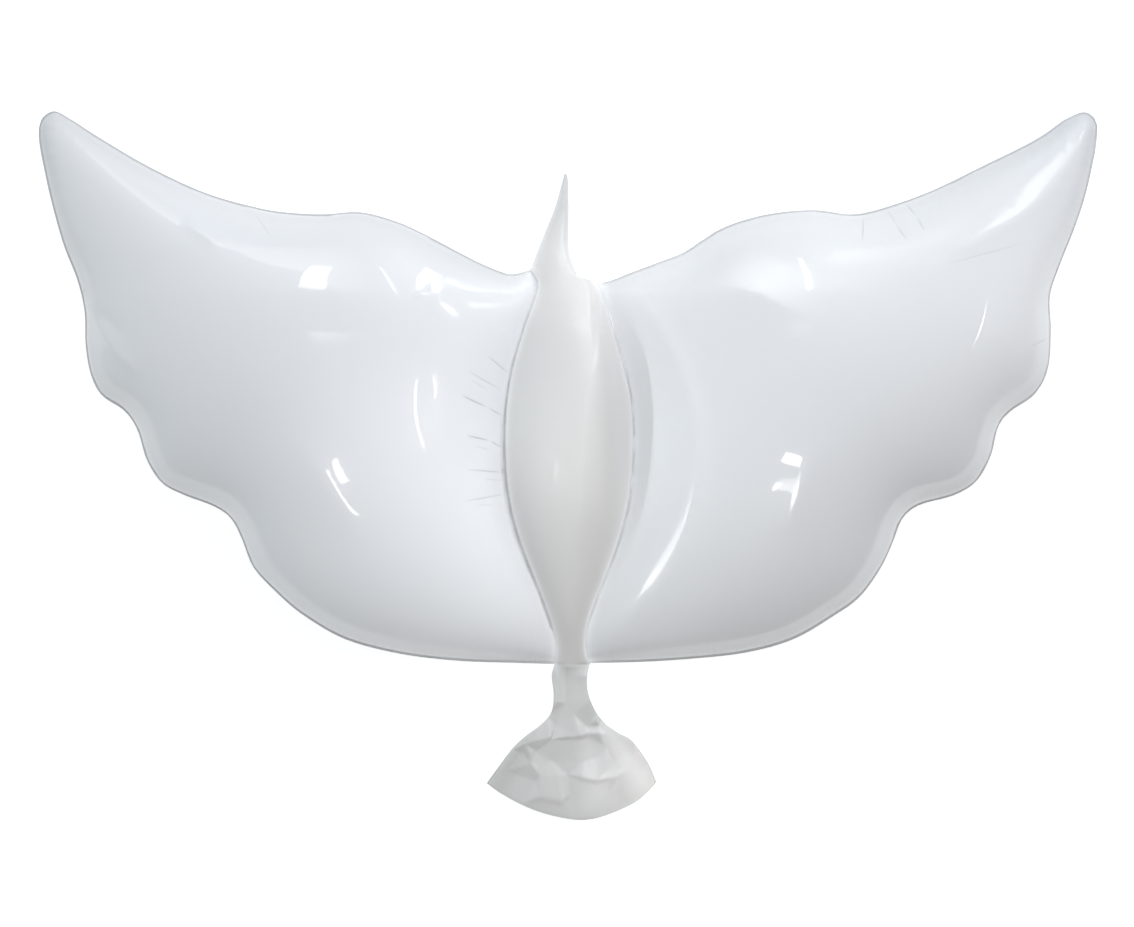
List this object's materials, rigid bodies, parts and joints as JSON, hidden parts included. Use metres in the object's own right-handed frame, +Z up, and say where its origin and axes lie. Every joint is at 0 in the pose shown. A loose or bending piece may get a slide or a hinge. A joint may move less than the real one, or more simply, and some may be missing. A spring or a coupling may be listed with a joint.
{
  "type": "dove foil balloon",
  "caption": "Blown-up dove of glossy white film with spread scalloped wings, a keeled body, a pointed beak and a flat crumpled tail fan.",
  "frame": {"origin": "middle of the bounding box in plan, on the surface that the balloon lies on", "axes": "+X along the wings to the right as seen from above, +Y towards the beak, +Z up from the back to the breast keel"},
  "size_m": [1.0404, 0.6994, 0.1594],
  "materials": {
    "white_film": "glossy white metallised film, smooth, with fine puckers at its welds"
  },
  "bodies": {
    "root": {"dove_envelope": "white_film"}
  },
  "joints": []
}
